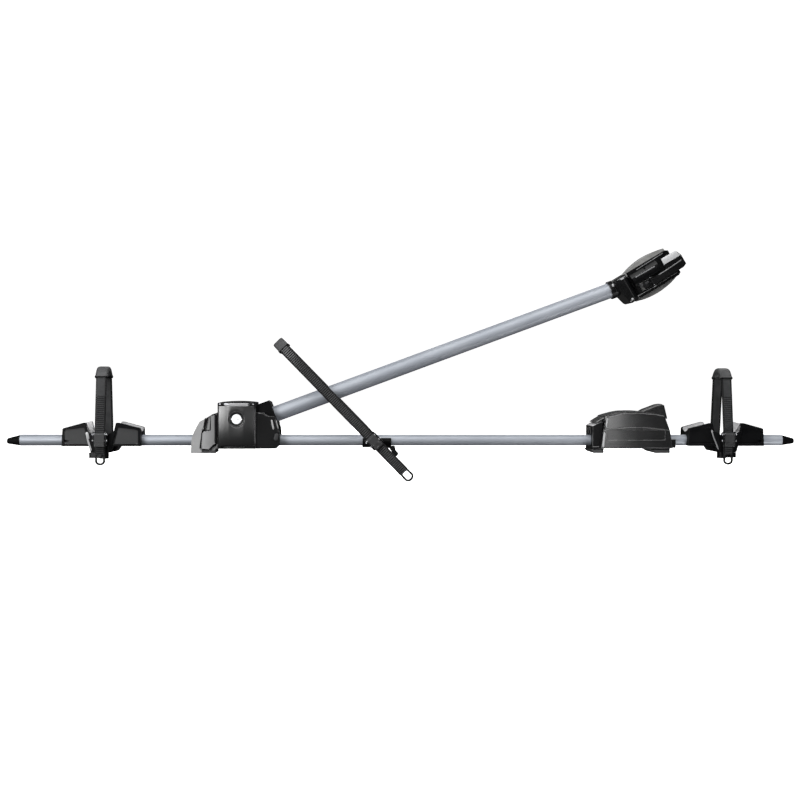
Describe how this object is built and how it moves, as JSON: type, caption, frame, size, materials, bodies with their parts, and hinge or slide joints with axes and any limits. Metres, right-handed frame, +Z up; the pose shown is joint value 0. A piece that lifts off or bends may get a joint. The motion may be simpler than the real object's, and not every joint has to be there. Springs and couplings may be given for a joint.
{
  "type": "roof bike carrier",
  "caption": "Roof rail bike carrier with a folding frame-clamp arm, lockable front foot, sliding wheel holders and ribbed rubber straps with lever buckles.",
  "frame": {"origin": "middle of the front foot seat, on its rubber pad, where it stands on the roof bar", "axes": "+X along the rail towards its rear end, +Y across the carrier away from the lock, +Z up"},
  "size_m": [1.412, 0.0928, 0.4172],
  "materials": {
    "rail_finish": "satin anodised",
    "black_plastic": "fine textured",
    "gloss_black": "smooth",
    "grey_plastic": "fine textured",
    "black_rubber": "ribbed",
    "pad_rubber": "smooth",
    "zinc_steel": "zinc plated",
    "lock_metal": "satin"
  },
  "bodies": {
    "front_foot": {"rail": "rail_finish", "rail_cap_front": "gloss_black", "rail_cap_rear": "gloss_black", "front_housing": "black_plastic", "front_side_cover_near": "grey_plastic", "front_side_cover_far": "grey_plastic", "front_bracket": "zinc_steel", "front_seat_pad": "black_rubber", "front_leg_pad": "black_rubber", "front_rail_screws": "zinc_steel", "flap_hinge_pin": "zinc_steel", "arm_pivot_bolt": "zinc_steel", "arm_pivot_nut": "zinc_steel"},
    "lock_flap": {"front_flap": "gloss_black"},
    "lock": {"lock_core": "lock_metal", "lock_tongue": "zinc_steel"},
    "front_near_knob": {"front_knob_near": "black_plastic"},
    "front_far_knob": {"front_knob_far": "black_plastic"},
    "arm": {"arm_knuckle": "gloss_black", "arm_tube": "rail_finish", "head_collar": "grey_plastic", "head_body": "gloss_black", "far_jaw_pad": "pad_rubber", "tie_rod": "zinc_steel", "tie_rod_nut": "zinc_steel", "jaw_hinge_pin": "zinc_steel"},
    "clamp_jaw": {"near_jaw": "gloss_black", "near_jaw_pad": "pad_rubber", "clamp_lever_pin": "zinc_steel"},
    "lever": {"clamp_lever": "gloss_black"},
    "rear_foot": {"rear_base": "grey_plastic", "rear_bracket": "zinc_steel", "rear_seat_pad": "black_rubber", "rear_leg_pads": "black_rubber"},
    "rear_near_knob": {"rear_knob_near": "black_plastic"},
    "rear_far_knob": {"rear_knob_far": "black_plastic"},
    "cover": {"rear_cover": "black_plastic", "rear_cover_side_near": "black_plastic", "rear_cover_side_far": "black_plastic"},
    "front_holder": {"front_saddle": "black_plastic", "front_strap": "black_rubber", "front_strap_pad": "black_rubber", "front_buckle_base": "grey_plastic", "front_buckle_pins": "zinc_steel"},
    "front_handle": {"front_clamp_handle": "gloss_black"},
    "front_strap_lever": {"front_buckle_lever": "grey_plastic"},
    "rear_holder": {"rear_saddle": "black_plastic", "rear_strap": "black_rubber", "rear_strap_pad": "black_rubber", "rear_buckle_base": "grey_plastic", "rear_buckle_pins": "zinc_steel"},
    "rear_handle": {"rear_clamp_handle": "gloss_black"},
    "rear_strap_lever": {"rear_buckle_lever": "grey_plastic"},
    "third_holder": {"third_clip": "grey_plastic", "third_strap": "black_rubber", "third_strap_pad": "black_rubber", "third_buckle_base": "grey_plastic", "third_buckle_pins": "zinc_steel"},
    "third_strap_lever": {"third_buckle_lever": "grey_plastic"}
  },
  "joints": [
    {"name": "arm_pivot", "type": "hinge", "parent": "front_foot", "child": "arm", "pos_m": [0.036, 0, 0.0487], "axis": [0, -1, 0], "range_deg": [0, 40]},
    {"name": "clamp_lever_hinge", "type": "hinge", "parent": "clamp_jaw", "child": "lever", "pos_m": [0.73115, -0.03, 0.30683], "axis": [0.515, 0, -0.8572], "range_deg": [0, 100]},
    {"name": "jaw_swing", "type": "hinge", "parent": "arm", "child": "clamp_jaw", "pos_m": [0.69687, -0.018, 0.28623], "axis": [0.515, 0, -0.8572], "range_deg": [0, 20]},
    {"name": "flap_hinge", "type": "hinge", "parent": "front_foot", "child": "lock_flap", "pos_m": [0, -0.0406, 0.078], "axis": [-1, 0, 0], "range_deg": [0, 95]},
    {"name": "lock_turn", "type": "hinge", "parent": "lock_flap", "child": "lock", "pos_m": [0, -0.042, 0.052], "axis": [0, -1, 0], "range_deg": [0, 90]},
    {"name": "front_near_knob_turn", "type": "hinge", "parent": "front_foot", "child": "front_near_knob", "pos_m": [0, -0.028, 0.005], "axis": [0, 0, 1], "continuous": true},
    {"name": "front_far_knob_turn", "type": "hinge", "parent": "front_foot", "child": "front_far_knob", "pos_m": [0, 0.028, 0.005], "axis": [0, 0, 1], "continuous": true},
    {"name": "rear_foot_slide", "type": "slide", "parent": "front_foot", "child": "rear_foot", "axis": [1, 0, 0], "range_m": [-0.15, 0]},
    {"name": "cover_lift", "type": "slide", "parent": "rear_foot", "child": "cover", "axis": [0, 0, 1], "range_m": [0, 0.06]},
    {"name": "rear_near_knob_turn", "type": "hinge", "parent": "rear_foot", "child": "rear_near_knob", "pos_m": [0.693, -0.028, 0.005], "axis": [0, 0, 1], "continuous": true},
    {"name": "rear_far_knob_turn", "type": "hinge", "parent": "rear_foot", "child": "rear_far_knob", "pos_m": [0.693, 0.028, 0.005], "axis": [0, 0, 1], "continuous": true},
    {"name": "front_holder_slide", "type": "slide", "parent": "front_foot", "child": "front_holder", "axis": [1, 0, 0], "range_m": [-0.06, 0.05]},
    {"name": "front_handle_turn", "type": "hinge", "parent": "front_holder", "child": "front_handle", "pos_m": [-0.237, 0, -0.01], "axis": [0, 0, 1], "continuous": true},
    {"name": "front_buckle_hinge", "type": "hinge", "parent": "front_holder", "child": "front_strap_lever", "pos_m": [-0.237, -0.0453, 0.0255], "axis": [-1, 0, 0], "range_deg": [0, 100]},
    {"name": "rear_holder_slide", "type": "slide", "parent": "front_foot", "child": "rear_holder", "axis": [1, 0, 0], "range_m": [-0.008, 0.024]},
    {"name": "rear_handle_turn", "type": "hinge", "parent": "rear_holder", "child": "rear_handle", "pos_m": [0.874, 0, -0.01], "axis": [0, 0, 1], "continuous": true},
    {"name": "rear_buckle_hinge", "type": "hinge", "parent": "rear_holder", "child": "rear_strap_lever", "pos_m": [0.874, -0.0453, 0.0255], "axis": [-1, 0, 0], "range_deg": [0, 100]},
    {"name": "third_strap_slide", "type": "slide", "parent": "front_foot", "child": "third_holder", "axis": [1, 0, 0], "range_m": [-0.06, 0]},
    {"name": "third_buckle_hinge", "type": "hinge", "parent": "third_holder", "child": "third_strap_lever", "pos_m": [0.23541, -0.0453, 0.01893], "axis": [-0.7157, 0, -0.6984], "range_deg": [0, 100]}
  ],
  "couplings": [
    {"joint": "jaw_swing", "follows": "clamp_lever_hinge", "ratio": 0.2}
  ]
}
